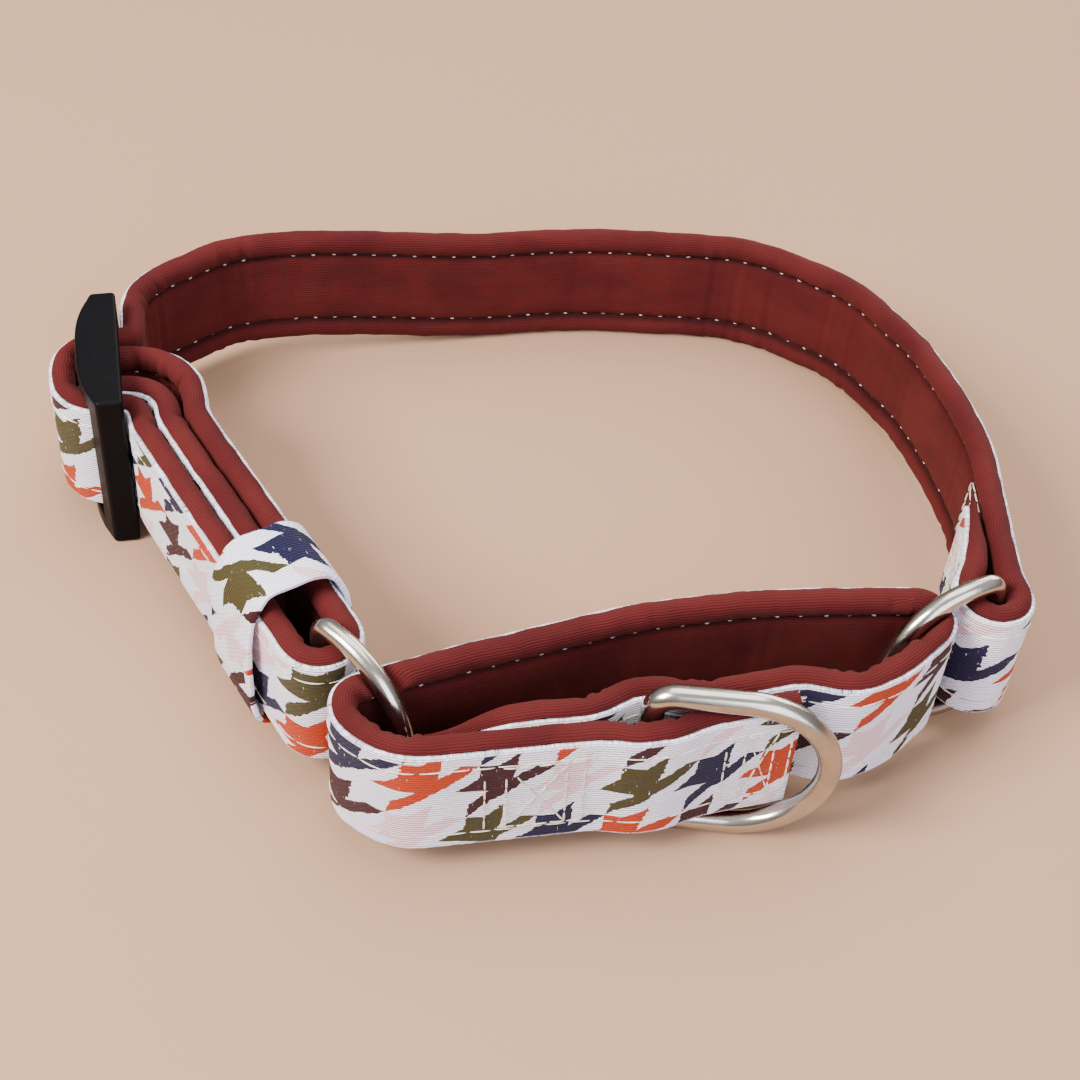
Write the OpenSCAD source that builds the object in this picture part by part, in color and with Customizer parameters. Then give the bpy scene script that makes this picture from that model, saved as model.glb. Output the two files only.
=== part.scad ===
// Martingale collar: a padded, printed webbing strap with a tri-glide adjuster at the left,
// a D-ring in each end, and a control loop with a leash ring that joins the two D-rings.
// The collar stands on its edge: front (control loop) towards -Y, +Z up, millimetres.

/* [Strap] */
// Width of the printed webbing, edge to edge
webbing_h = 25; // [22:0.5:25]
// Thickness of the webbing
webbing_t = 1.2; // [1:0.05:1.2]
// Height of the padded lining, edge to edge
lining_h = 27.4; // [26:0.1:27.4]
// Thickness of the padded lining
lining_t = 3.8; // [3.4:0.05:3.8]
// Room between layers, and between the strap and the hardware
gap = 0.3; // [0.3:0.05:0.4]
// Distance of each seam from the edge of the webbing
seam_inset = 4; // [3:0.5:6]

/* [Hardware] */
// Inside width of the D-rings, and the opening of the slider
opening_h = 28.2; // [28.2:0.1:29]
// Wire diameter of the two side rings
side_wire = 3.6; // [3:0.1:3.6]
// Reach of the side rings, from the straight bar to the middle of the bow
side_reach = 20.5; // [20:0.1:20.5]
// Bend between the straight bar and the bow of a side ring
side_corner = 2.6; // [2.2:0.1:2.8]
// Wire diameter of the leash ring
leash_wire = 4.2; // [3.6:0.1:4.2]
// Reach of the leash ring, from the straight bar to the middle of the bow
leash_reach = 31.5; // [31.5:0.5:33]
// Bend between the straight bar and the bow of the leash ring
leash_corner = 4; // [3:0.2:4]
// Height of the slider and of the leash ring's outline
hardware_h = 36.6; // [36.6:0.1:38]
// Width along the strap of the slider's two outer bars
slider_bar = 4.2; // [3.5:0.1:4.5]
// Width along the strap of the slider's middle bar
middle_bar = 4; // [3.6:0.1:4]
// Thickness of the slider's middle bar
middle_bar_t = 3; // [2.6:0.1:3]

/* [Layout] */
// Centre of the slider, left of the neck opening
slider_at = [-77.5, 34.8];
// Heading of the doubled run from the slider to the left ring
run_angle = -70; // [-71:1:-69]
// Length of the doubled run, to the middle of the left ring's fold
run_length = 69.6; // [68:0.2:70]
// Place of the keeper's middle along the doubled run
keeper_at = 49; // [40:1:50]
// Width of the keeper band along the run
keeper_w = 15; // [12:1:16]
// Straight bar of the right ring
right_bar_at = [74, -48.7];
// Straight bar of the leash ring
leash_bar_at = [6.5, -65];
// Heading of the left, right and leash rings from their bars
ring_headings = [-54, 193, -15.5];

/* [Hidden] */

print_colour = [0.93, 0.92, 0.97];
lining_colour = [0.50, 0.16, 0.15];
steel_colour = [0.70, 0.67, 0.62];
plastic_colour = [0.09, 0.09, 0.10];
thread_colour = [0.93, 0.90, 0.82];

arc_step = 18;          // degrees between stations round a bend
run_step = 14;          // millimetres between stations where the strap climbs
thread_w = 0.6;
thread_t = 0.12;

strap_t = webbing_t + lining_t;
half_t = strap_t / 2;
pitch = strap_t + gap;                            // distance between neighbouring layers
front_lift = (hardware_h - lining_h) / 2;         // the front hangs this high on its hardware
middle_z = hardware_h / 2;
webbing_z = (lining_h - webbing_h) / 2;
leg_inner = middle_bar / 2 + gap + half_t;        // legs of the two folds round the middle bar
leg_outer = leg_inner + pitch;
crown_inner = middle_bar_t / 2 + gap + half_t;
crown_outer = crown_inner + pitch;
side_bar_t = 3.6;
slot_edge = leg_outer + half_t + gap;
slider_half = slot_edge + slider_bar;
corner_r = gap + half_t;                          // tight bend against an outer bar
run_x = slider_at.x + side_bar_t / 2 + corner_r;  // the strap passes inside the outer bars
run_dir = [cos(run_angle), sin(run_angle)];
run_across = [-sin(run_angle), cos(run_angle)];
bend_tan = tan((90 + run_angle) / 2);
run_start = [run_x, slider_at.y - slider_half + 0.6];
bar_inset = 5;                                    // the left bar's place inside its fold
right_x = 87.1;                                   // where the strap runs along Y, at the cinch
split_y = 0;
rest_x = -40;                                     // the strap starts down to the floor here

// --- paths: corners [x, y, radius] become stations [x, y, heading] -----------------------

function plan(p) = [p.x, p.y];
function unit(v) = v / norm(v);
function left_of(v) = [-v.y, v.x];
function heading(v) = atan2(v.y, v.x);
function ease(t) = let (c = max(0, min(1, t))) c * c * (3 - 2 * c);

function bend(p0, p1, p2, r) =
    let (d1 = unit(p1 - p0), d2 = unit(p2 - p1), a = heading(d1),
         turn = atan2(d1.x * d2.y - d1.y * d2.x, d1 * d2), side = sign(turn),
         start = p1 - r * tan(abs(turn) / 2) * d1,
         centre = start + side * r * left_of(d1),
         steps = max(1, ceil(abs(turn) / arc_step)))
    [for (i = [0:steps]) let (b = a + turn * i / steps)
        [centre.x + side * r * sin(b), centre.y - side * r * cos(b), b]];

function between(p, q, step) =
    let (n = floor(norm(plan(q) - plan(p)) / step))
    n < 1 ? [] : [for (i = [1:n]) let (t = i / (n + 1))
        [p.x + t * (q.x - p.x), p.y + t * (q.y - p.y), p.z]];

function stations(v, step = 1000) =
    let (last = len(v) - 1,
         bends = [[[v[0].x, v[0].y, heading(plan(v[1]) - plan(v[0]))]],
                  for (i = [1:last - 1]) bend(plan(v[i - 1]), plan(v[i]), plan(v[i + 1]), v[i].z),
                  [[v[last].x, v[last].y, heading(plan(v[last]) - plan(v[last - 1]))]]])
    [for (i = [0:last]) each concat(bends[i],
        i == last ? [] : between(bends[i][len(bends[i]) - 1], bends[i + 1][0], step))];

function shifted(s, o) = [for (p = s) [p.x - o * sin(p.z), p.y + o * cos(p.z)]];
function reversed(s) = [for (i = [len(s) - 1:-1:0]) s[i]];
function on_run(along, across) = run_start + along * run_dir + across * run_across;
function lift(p) = front_lift * (1 - ease((p.x - rest_x) / 50) * ease((p.y - split_y) / 45));

// Left end: sewn end, fold round the middle bar, down to the ring's fold, back up through the slider
adjuster_path = stations([
    [on_run(46, pitch).x, on_run(46, pitch).y, 0],
    [run_start.x + pitch, run_start.y + pitch * bend_tan, 10],
    [run_start.x + pitch, slider_at.y - leg_inner, corner_r + pitch],
    [slider_at.x - crown_inner, slider_at.y - leg_inner, 4.2],
    [slider_at.x - crown_inner, slider_at.y + leg_inner, 4.2],
    [run_start.x + 2 * pitch, slider_at.y + leg_inner, 13],
    [run_start.x + 2 * pitch, run_start.y + 2 * pitch * bend_tan, 10],
    [on_run(run_length, 2 * pitch).x, on_run(run_length, 2 * pitch).y, pitch - 0.05],
    [on_run(run_length, 0).x, on_run(run_length, 0).y, pitch - 0.05],
    [run_start.x, run_start.y, 15],
    [run_start.x, slider_at.y - leg_outer, corner_r],
    [slider_at.x - crown_outer, slider_at.y - leg_outer, 8],
    [slider_at.x - crown_outer, slider_at.y + leg_outer, 8],
    [run_start.x, slider_at.y + leg_outer, corner_r],
    [run_start.x, slider_at.y + 26.5, 14],
    [-52, 73.4, 25],
    [rest_x, 73.5, 0]]);

// Back and right side, down to the plane where the right end slides in
strap_path = stations([
    [rest_x, 73.5, 0], [23.5, 74.1, 100], [63.5, 65.4, 35], [82, 46.6, 25],
    [right_x, 26.6, 50], [right_x, split_y + gap / 2, 0]], run_step);

// Right end: round the right ring's bar and back up on the neck side
end_path = stations([
    [right_x, split_y - gap / 2, 0], [right_x, -9.4, 50], [79.2, -43.2, 20],
    [78.9, -53.6, 4.8], [69.4, -53.6, 4.7], [69.4, -46.2, 8], [74.4, -38.9, 10],
    [77.8, -24.4, 0]]);

// Control loop: one strip, its two ends overlapped at the front round the leash ring's bar
loop_path = stations([
    [31.5, -66.9, 0], [14.5, -68.1, 20], [9.5, -69.9, 10], [3.5, -69.9, 10], [-2.5, -68.1, 20],
    [-37, -66.9, 12], [-44.2, -59.2, 7], [-44.2, -52.1, 4.6],
    [-20, -47.6, 60], [10, -43, 60], [33, -43.1, 80],
    [62.8, -47, 4.6], [63.4, -54.3, 6], [51.5, -62.3, 20], [42, -65.3, 10],
    [34.5, -61.3, 10], [14.5, -62.8, 12], [9.5, -60.1, 8], [3.5, -60.1, 8], [-2.5, -62.8, 12],
    [-31, -61.9, 0]]);

// --- strips -------------------------------------------------------------------------------

// Upright strip at one height, between two offsets to the left of the path
module strip(s, o1, o2, z, h)
    translate([0, 0, z]) linear_extrude(h)
        polygon(concat(shifted(s, o1), reversed(shifted(s, o2))));

// The same strip where the strap comes down from its hardware to the floor
module rising_strip(s, o1, o2, z, h) {
    a = shifted(s, o1);
    b = shifted(s, o2);
    n = len(s);
    polyhedron(
        [for (i = [0:n - 1]) let (low = z + lift(s[i])) each
            [[a[i].x, a[i].y, low], [b[i].x, b[i].y, low],
             [b[i].x, b[i].y, low + h], [a[i].x, a[i].y, low + h]]],
        [[0, 1, 2, 3],
         for (i = [0:n - 2], k = [0:3]) let (m = (k + 1) % 4)
            [4 * (i + 1) + k, 4 * (i + 1) + m, 4 * i + m, 4 * i + k],
         [4 * n - 1, 4 * n - 2, 4 * n - 3, 4 * n - 4]],
        convexity = 6);
}

// The webbing is on the left of every path, the lining on its right
module webbing_of(s) strip(s, half_t - webbing_t, half_t, front_lift + webbing_z, webbing_h);
module lining_of(s) strip(s, -half_t, half_t - webbing_t, front_lift, lining_h);

// Two rows of thread on each face
module seams_of(s)
    for (z = [webbing_z + seam_inset, lining_h - webbing_z - seam_inset], o = [-half_t - thread_t, half_t])
        strip(s, o, o + thread_t, front_lift + z - thread_w / 2, thread_w);

// Sewn box with a cross, on the left face of the straight stretch from p to q
module stitch_box(p, q, h) {
    clear = 0.02;
    long = norm(q - p);
    slope = atan2(h, long);
    translate([p.x, p.y, middle_z]) rotate([0, 0, heading(q - p)]) translate([0, half_t + clear, 0]) {
        for (x = [0, 3, long - 3, long]) thread_bar([x, 0, 0], 90, h);
        for (z = [-h / 2, h / 2]) thread_bar([long / 2, 0, z], 0, long);
        for (a = [-slope, slope]) thread_bar([long / 2, 0, 0], a, norm([long, h]) - 2);
    }
}

module thread_bar(at, tilt, long)
    translate(at) rotate([0, -tilt, 0]) translate([-long / 2, 0, -thread_w / 2])
        cube([long, thread_t, thread_w]);

// --- strap --------------------------------------------------------------------------------

module strap_webbing() color(print_colour)
    rising_strip(strap_path, half_t - webbing_t, half_t, webbing_z, webbing_h);

module strap_lining() color(lining_colour)
    rising_strip(strap_path, -half_t, half_t - webbing_t, 0, lining_h);

module strap_seams() color(thread_colour)
    for (z = [webbing_z + seam_inset, lining_h - webbing_z - seam_inset], o = [-half_t - thread_t, half_t])
        rising_strip(strap_path, o, o + thread_t, z - thread_w / 2, thread_w);

module adjuster_webbing() color(print_colour) webbing_of(adjuster_path);
module adjuster_lining() color(lining_colour) lining_of(adjuster_path);
module adjuster_seams() color(thread_colour) seams_of(adjuster_path);

// Bar tacks that sew the strap's end to the layer beside it
module adjuster_stitching() color(thread_colour)
    stitch_box(on_run(28, 2 * pitch), on_run(40, 2 * pitch), webbing_h - 2 * seam_inset - 3);

module end_webbing() color(print_colour) webbing_of(end_path);
module end_lining() color(lining_colour) lining_of(end_path);
module end_seams() color(thread_colour) seams_of(end_path);

module end_stitching() color(thread_colour)
    stitch_box([74.9, -36.7], [77.4, -26.1], webbing_h - 2 * seam_inset - 3);

// --- control loop -------------------------------------------------------------------------

// The bow of each side ring presses a groove into both edges of the loop
module pressed_by_rings() difference() {
    children();
    left_place() d_ring(side_wire, side_reach, side_corner, gap);
    right_place() d_ring(side_wire, side_reach, side_corner, gap);
}

module loop_webbing() color(print_colour) pressed_by_rings() webbing_of(loop_path);
module loop_lining() color(lining_colour) pressed_by_rings() lining_of(loop_path);
module loop_seams() color(thread_colour) pressed_by_rings() seams_of(loop_path);

module loop_stitching_left() color(thread_colour)
    stitch_box([-5.5, -68], [-22, -67.42], webbing_h - 2 * seam_inset - 3);

module loop_stitching_right() color(thread_colour)
    stitch_box([30.6, -66.97], [19.2, -67.77], webbing_h - 2 * seam_inset - 3);

// --- hardware -----------------------------------------------------------------------------

module rounded_rect(w, h, r) {
    square([w - 2 * r, h], center = true);
    square([w, h - 2 * r], center = true);
    for (x = [-1, 1], y = [-1, 1])
        translate([x * (w / 2 - r), y * (h / 2 - r)]) circle(r, $fn = 32);
}

// Band of webbing round both layers of the run
module keeper() color(print_colour) {
    inner_w = 3 * pitch + 1.1;
    inner_h = lining_h + 1.6;
    middle = on_run(keeper_at, pitch);
    translate([middle.x, middle.y, middle_z]) rotate([0, 0, run_angle]) rotate([90, 0, 90])
        translate([0, 0, -keeper_w / 2]) linear_extrude(keeper_w) difference() {
            rounded_rect(inner_w + 2 * webbing_t, inner_h + 2 * webbing_t, 3);
            rounded_rect(inner_w, inner_h, 1.8);
        }
}

// Tri-glide: three bars between two end plates that are arched on the outer side
module slider() color(plastic_colour) {
    arch = 3.8;
    plate_t = (hardware_h - opening_h) / 2;
    arch_r = (slider_half * slider_half + arch * arch) / (2 * arch);
    translate([slider_at.x, slider_at.y, 0]) {
        for (z = [0, hardware_h - plate_t]) translate([0, 0, z]) linear_extrude(plate_t)
            intersection() {
                translate([-side_bar_t / 2 - arch, -slider_half])
                    square([side_bar_t + arch, 2 * slider_half]);
                translate([arch_r - side_bar_t / 2 - arch, 0]) circle(arch_r, $fn = 96);
            }
        for (side = [-1, 1]) translate([0, side * (slot_edge + slider_bar / 2), plate_t - 1])
            linear_extrude(opening_h + 2) rounded_rect(side_bar_t, slider_bar, 1);
        translate([0, 0, plate_t - 1]) linear_extrude(opening_h + 2)
            rounded_rect(middle_bar_t, middle_bar, 1);
    }
}

// D-ring with its straight bar on the Z axis and its bow towards +X; room thickens its wire
module d_ring(wire, reach, corner, room = 0) {
    half = (opening_h + wire) / 2;
    thick = wire + 2 * room;
    arm = reach - half - corner;
    translate([0, 0, corner - half]) cylinder(d = thick, h = 2 * (half - corner), $fn = 32);
    for (side = [-1, 1]) {
        translate([corner, 0, side * (half - corner)]) rotate([90, 0, 0])
            rotate([0, 0, 135 - 45 * side])
            rotate_extrude(angle = 90, $fn = 64) translate([corner, 0]) circle(d = thick, $fn = 32);
        translate([corner, 0, side * half]) rotate([0, 90, 0])
            cylinder(d = thick, h = arm, $fn = 32);
    }
    translate([reach - half, 0, 0]) rotate([90, 0, 0]) rotate([0, 0, -90])
        rotate_extrude(angle = 180, $fn = 96) translate([half, 0]) circle(d = thick, $fn = 32);
}

module placed(at, turn) translate([at.x, at.y, middle_z]) rotate([0, 0, turn]) children();
module left_place() placed(on_run(run_length - bar_inset, pitch), ring_headings[0]) children();
module right_place() placed(right_bar_at, ring_headings[1]) children();

module left_ring() color(steel_colour) left_place() d_ring(side_wire, side_reach, side_corner);
module right_ring() color(steel_colour) right_place() d_ring(side_wire, side_reach, side_corner);
module leash_ring() color(steel_colour)
    placed(leash_bar_at, ring_headings[2]) d_ring(leash_wire, leash_reach, leash_corner);

strap_webbing();
strap_lining();
strap_seams();
adjuster_webbing();
adjuster_lining();
adjuster_seams();
adjuster_stitching();
end_webbing();
end_lining();
end_seams();
end_stitching();
loop_webbing();
loop_lining();
loop_seams();
loop_stitching_left();
loop_stitching_right();
keeper();
slider();
left_ring();
right_ring();
leash_ring();
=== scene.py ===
import math

import bmesh
import bpy
import numpy as np
from mathutils import Matrix, Vector


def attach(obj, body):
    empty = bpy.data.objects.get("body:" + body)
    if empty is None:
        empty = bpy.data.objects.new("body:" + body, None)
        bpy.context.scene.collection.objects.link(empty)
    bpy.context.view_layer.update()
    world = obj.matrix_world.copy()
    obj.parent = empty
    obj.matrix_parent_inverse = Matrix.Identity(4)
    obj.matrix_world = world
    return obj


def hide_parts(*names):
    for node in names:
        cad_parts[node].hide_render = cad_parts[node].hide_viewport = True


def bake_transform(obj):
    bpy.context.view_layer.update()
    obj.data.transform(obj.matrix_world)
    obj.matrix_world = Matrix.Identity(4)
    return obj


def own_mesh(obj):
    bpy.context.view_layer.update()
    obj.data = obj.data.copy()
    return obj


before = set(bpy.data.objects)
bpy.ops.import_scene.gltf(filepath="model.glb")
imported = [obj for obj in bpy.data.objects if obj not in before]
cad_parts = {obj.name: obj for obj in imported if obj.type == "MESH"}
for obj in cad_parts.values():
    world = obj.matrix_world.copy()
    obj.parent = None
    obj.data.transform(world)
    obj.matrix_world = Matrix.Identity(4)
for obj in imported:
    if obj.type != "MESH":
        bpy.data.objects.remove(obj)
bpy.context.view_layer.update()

# --- sizes, in millimetres, as in the CAD model -------------------------------------------

MM = 0.001
WEBBING_H = 25
WEBBING_T = 1.2
LINING_H = 27.4
LINING_T = 3.8
GAP = 0.3
OPENING_H = 28.2
HARDWARE_H = 36.6
SEAM_Z = WEBBING_H / 2 - 4
HALF_T = (WEBBING_T + LINING_T) / 2
PITCH = WEBBING_T + LINING_T + GAP
FRONT_LIFT = (HARDWARE_H - LINING_H) / 2
MIDDLE_Z = HARDWARE_H / 2

SIDE_WIRE = 3.6
SIDE_REACH = 20.5
SIDE_CORNER = 2.6
LEASH_WIRE = 4.2
LEASH_REACH = 31.5
LEASH_CORNER = 4

SLIDER_AT = np.array([-77.5, 34.8])
MIDDLE_BAR = (3, 4)
SIDE_BAR_T = 3.6
LEG_INNER = MIDDLE_BAR[1] / 2 + GAP + HALF_T
LEG_OUTER = LEG_INNER + PITCH
CROWN_INNER = MIDDLE_BAR[0] / 2 + GAP + HALF_T
CROWN_OUTER = CROWN_INNER + PITCH
SLOT_EDGE = LEG_OUTER + HALF_T + GAP
SLIDER_HALF = SLOT_EDGE + 4.2

RUN_ANGLE = math.radians(-70)
RUN_LENGTH = 69.6
BAR_INSET = 5
RUN_DIR = np.array([math.cos(RUN_ANGLE), math.sin(RUN_ANGLE)])
RUN_ACROSS = np.array([-math.sin(RUN_ANGLE), math.cos(RUN_ANGLE)])
CORNER_R = GAP + HALF_T
RUN_X = SLIDER_AT[0] + SIDE_BAR_T / 2 + CORNER_R
RUN_START = np.array([RUN_X, SLIDER_AT[1] - SLIDER_HALF + 0.6])
KEEPER_AT = 49
KEEPER_W = 15
REST_X = -40

TUCKED = 0.7            # part of the tape's height that the lining's rolled edges hide
FLOOR_GAP = 0.02        # the lowest that any cloth comes to the floor
LINING_STITCH = 4.4     # pitch of the seams on the lining, and on the printed side
PRINT_STITCH = 4.3


def on_run(along, across):
    """A point of the doubled run between the slider and the left ring."""
    return RUN_START + along * RUN_DIR + across * RUN_ACROSS


LEFT_BAR = on_run(RUN_LENGTH - BAR_INSET, PITCH)
RIGHT_BAR = np.array([74, -48.7])
LEASH_BAR = np.array([6.5, -65])
LEFT_HEADING = math.radians(-54)
RIGHT_HEADING = math.radians(193)
LEASH_HEADING = math.radians(-15.5)

BEND_TAN = math.tan((math.pi / 2 + RUN_ANGLE) / 2)

# Corners (x, y, radius) of the whole strap: its sewn end, the two folds at the slider, the ring's
# fold, the back, the right side, the right ring's fold and the returned end
STRAP_CORNERS = [
    (*on_run(46, PITCH), 0),
    (RUN_X + PITCH, RUN_START[1] + PITCH * BEND_TAN, 10),
    (RUN_X + PITCH, SLIDER_AT[1] - LEG_INNER, CORNER_R + PITCH),
    (SLIDER_AT[0] - CROWN_INNER, SLIDER_AT[1] - LEG_INNER, 4.2),
    (SLIDER_AT[0] - CROWN_INNER, SLIDER_AT[1] + LEG_INNER, 4.2),
    (RUN_X + 2 * PITCH, SLIDER_AT[1] + LEG_INNER, 13),
    (RUN_X + 2 * PITCH, RUN_START[1] + 2 * PITCH * BEND_TAN, 10),
    (*on_run(RUN_LENGTH, 2 * PITCH), PITCH - 0.05),
    (*on_run(RUN_LENGTH, 0), PITCH - 0.05),
    (*RUN_START, 15),
    (RUN_X, SLIDER_AT[1] - LEG_OUTER, CORNER_R),
    (SLIDER_AT[0] - CROWN_OUTER, SLIDER_AT[1] - LEG_OUTER, 8),
    (SLIDER_AT[0] - CROWN_OUTER, SLIDER_AT[1] + LEG_OUTER, 8),
    (RUN_X, SLIDER_AT[1] + LEG_OUTER, CORNER_R),
    (RUN_X, SLIDER_AT[1] + 26.5, 14),
    (-52, 73.4, 25),
    (23.5, 74.1, 100),
    (63.5, 65.4, 35),
    (82, 46.6, 25),
    (87.1, 26.6, 50),
    (87.1, -9.4, 50),
    (79.2, -43.2, 20),
    (78.9, -53.6, 4.7),
    (69.4, -53.6, 4.7),
    (69.4, -46.2, 8),
    (74.4, -38.9, 10),
    (77.8, -24.4, 0),
]

# Corners of the control loop, from its outer end round to its inner end
LOOP_CORNERS = [
    (31.5, -66.9, 0),
    (14.5, -68.1, 20),
    (9.5, -69.9, 10),
    (3.5, -69.9, 10),
    (-2.5, -68.1, 20),
    (-37, -66.9, 12),
    (-44.2, -59.2, 7),
    (-44.2, -52.1, 4.6),
    (-20, -47.6, 60),
    (10, -43, 60),
    (33, -43.1, 80),
    (62.8, -47, 4.6),
    (63.4, -54.3, 6),
    (51.5, -62.3, 20),
    (42, -65.3, 10),
    (34.5, -61.3, 10),
    (14.5, -62.8, 12),
    (9.5, -60.1, 8),
    (3.5, -60.1, 8),
    (-2.5, -62.8, 12),
    (-31, -61.9, 0),
]


# --- camera, light and floor ----------------------------------------------------------------


def make_camera():
    """Looks down at the front from the left, about 45 degrees, a little rolled."""
    forward = Vector((0.183, 0.683, -0.707)).normalized()
    right = forward.cross(Vector((0.102, 0.702, 0.704))).normalized()
    up = right.cross(forward)
    data = bpy.data.cameras.new("camera")
    data.lens = 61.1
    data.sensor_width = 36
    data.clip_start = 0.01
    camera = bpy.data.objects.new("camera", data)
    bpy.context.collection.objects.link(camera)
    camera.matrix_world = Matrix.Translation(Vector((-64.7, -249.6, 264.9)) * MM) @ Matrix(
        (right, up, -forward)
    ).transposed().to_4x4()
    bpy.context.scene.camera = camera


def area_light(name, at, size, power, colour):
    """A square soft light, aimed at the origin."""
    data = bpy.data.lights.new(name, "AREA")
    data.size = size
    data.energy = power
    data.color = colour
    light = bpy.data.objects.new(name, data)
    bpy.context.collection.objects.link(light)
    light.location = at
    light.rotation_euler = (-Vector(at)).to_track_quat("-Z", "Y").to_euler()


def make_world():
    """Soft light from all round, brighter overhead than at the horizon."""
    world = bpy.data.worlds.new("studio")
    world.use_nodes = True
    background = world.node_tree.nodes["Background"]
    background.inputs["Strength"].default_value = 0.8
    place = world.node_tree.nodes.new("ShaderNodeTexCoord")
    height = world.node_tree.nodes.new("ShaderNodeSeparateXYZ")
    sky = world.node_tree.nodes.new("ShaderNodeValToRGB")
    sky.color_ramp.elements[0].color = (0.20, 0.19, 0.19, 1)
    sky.color_ramp.elements[1].color = (0.96, 0.93, 0.91, 1)
    sky.color_ramp.elements[1].position = 0.85
    world.node_tree.links.new(place.outputs["Generated"], height.inputs[0])
    world.node_tree.links.new(height.outputs[2], sky.inputs[0])
    world.node_tree.links.new(sky.outputs[0], background.inputs["Color"])
    bpy.context.scene.world = world


def make_studio():
    """Four soft lights, the light from all round, and the floor."""
    area_light("key", (-0.62, -0.18, 0.62), 0.38, 20.0, (1.0, 0.95, 0.88))
    area_light("fill", (0.25, -0.75, 0.42), 0.7, 8.2, (0.84, 0.89, 1.0))
    area_light("top", (0.1, 0.25, 0.95), 0.8, 9.0, (1.0, 0.97, 0.94))
    area_light("rim", (0.55, 0.5, 0.35), 0.5, 4.6, (1.0, 0.93, 0.86))
    make_world()
    mesh = bpy.data.meshes.new("floor")
    mesh.from_pydata([(-4, -4, 0), (4, -4, 0), (4, 4, 0), (-4, 4, 0)], [], [(0, 1, 2, 3)])
    floor = bpy.data.objects.new("floor", mesh)
    bpy.context.collection.objects.link(floor)
    mesh.materials.append(floor_material())


# --- materials --------------------------------------------------------------------------------


class Shader:
    """Builds a material's nodes from plain calls."""

    def __init__(self, name):
        self.material = bpy.data.materials.new(name)
        self.material.use_nodes = True
        self.tree = self.material.node_tree
        self.surface = self.tree.nodes["Principled BSDF"]

    def node(self, kind, **settings):
        node = self.tree.nodes.new(kind)
        for key, value in settings.items():
            setattr(node, key, value)
        return node

    def feed(self, socket, value):
        """Links an output, or sets a number or colour."""
        if isinstance(value, bpy.types.NodeSocket):
            self.tree.links.new(value, socket)
        else:
            socket.default_value = value

    def math(self, operation, a, b=0.0, c=0.0):
        node = self.node("ShaderNodeMath", operation=operation)
        for socket, value in zip(node.inputs, (a, b, c)):
            self.feed(socket, value)
        return node.outputs[0]

    def add(self, a, b):
        return self.math("ADD", a, b)

    def subtract(self, a, b):
        return self.math("SUBTRACT", a, b)

    def times(self, a, b):
        return self.math("MULTIPLY", a, b)

    def mix(self, share, a, b, blend="MIX"):
        node = self.node("ShaderNodeMix", data_type="RGBA", blend_type=blend)
        self.feed(node.inputs["Factor"], share)
        self.feed(node.inputs["A"], a)
        self.feed(node.inputs["B"], b)
        return node.outputs["Result"]

    def vector(self, x, y, z=0.0):
        node = self.node("ShaderNodeCombineXYZ")
        for socket, value in zip(node.inputs, (x, y, z)):
            self.feed(socket, value)
        return node.outputs[0]

    def noise(self, where, scale, detail=2.0, rough=0.5):
        node = self.node("ShaderNodeTexNoise")
        self.feed(node.inputs["Vector"], where)
        self.feed(node.inputs["Scale"], scale)
        self.feed(node.inputs["Detail"], detail)
        self.feed(node.inputs["Roughness"], rough)
        return node.outputs["Fac"]

    def remap(self, value, low, high, out_low=0.0, out_high=1.0):
        node = self.node("ShaderNodeMapRange", interpolation_type="SMOOTHSTEP")
        for key, number in zip(("Value", "From Min", "From Max", "To Min", "To Max"),
                               (value, low, high, out_low, out_high)):
            self.feed(node.inputs[key], number)
        return node.outputs[0]

    def cloth_place(self):
        """Distance along the strip and across it, in millimetres, and a third value, which on the lining is
        the mask of the painted shade in the seams' grooves.
        """
        attribute = self.node("ShaderNodeAttribute", attribute_name="lay")
        parts = self.node("ShaderNodeSeparateXYZ")
        self.feed(parts.inputs[0], attribute.outputs["Vector"])
        return parts.outputs[0], parts.outputs[1], parts.outputs[2]

    def object_place(self):
        return self.node("ShaderNodeTexCoord").outputs["Object"]

    def bump(self, height, depth_mm, strength=1.0):
        node = self.node("ShaderNodeBump")
        node.inputs["Strength"].default_value = strength
        node.inputs["Distance"].default_value = depth_mm * MM
        self.feed(node.inputs["Height"], height)
        self.feed(self.surface.inputs["Normal"], node.outputs[0])

    def set(self, **values):
        for key, value in values.items():
            self.feed(self.surface.inputs[key.replace("_", " ")], value)


def ridges(shader, place, width):
    """Rounded ribs, one in each width."""
    return shader.math("ABSOLUTE", shader.math("SINE", shader.times(place, math.pi / width)))


def print_cell(shader, along, across):
    """Which motif of the broken check a point is in: (is printed, column, row)."""
    cell = (6.3, 6.9)
    turn = 0.12
    slant = 0.16
    u = shader.add(shader.times(along, 1 / cell[0]), shader.times(across, slant / cell[0]))
    v = shader.subtract(shader.times(across, 1 / cell[1]), shader.times(along, turn / cell[1]))
    half_u = shader.times(u, 0.5)
    half_v = shader.add(shader.times(v, 0.5), 0.3)
    column = shader.math("FLOOR", half_u)
    row = shader.math("FLOOR", half_v)
    in_u = shader.times(shader.subtract(half_u, column), 2)
    in_v = shader.times(shader.subtract(half_v, row), 2)
    near_u = shader.math("LESS_THAN", in_u, 1.0)
    near_v = shader.math("LESS_THAN", in_v, 1.0)
    square = shader.times(near_u, near_v)
    mixed = shader.math("ABSOLUTE", shader.subtract(near_u, near_v))
    diagonal = shader.add(in_u, in_v)
    band = shader.math("LESS_THAN", shader.math("FRACT", diagonal), 0.5)
    printed = shader.math("MAXIMUM", square, shader.times(mixed, band))
    reach = shader.times(mixed, shader.math("GREATER_THAN", diagonal, 1.75))
    column = shader.add(column, shader.times(reach, near_v))
    row = shader.add(row, shader.times(reach, near_u))
    return printed, column, row


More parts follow.
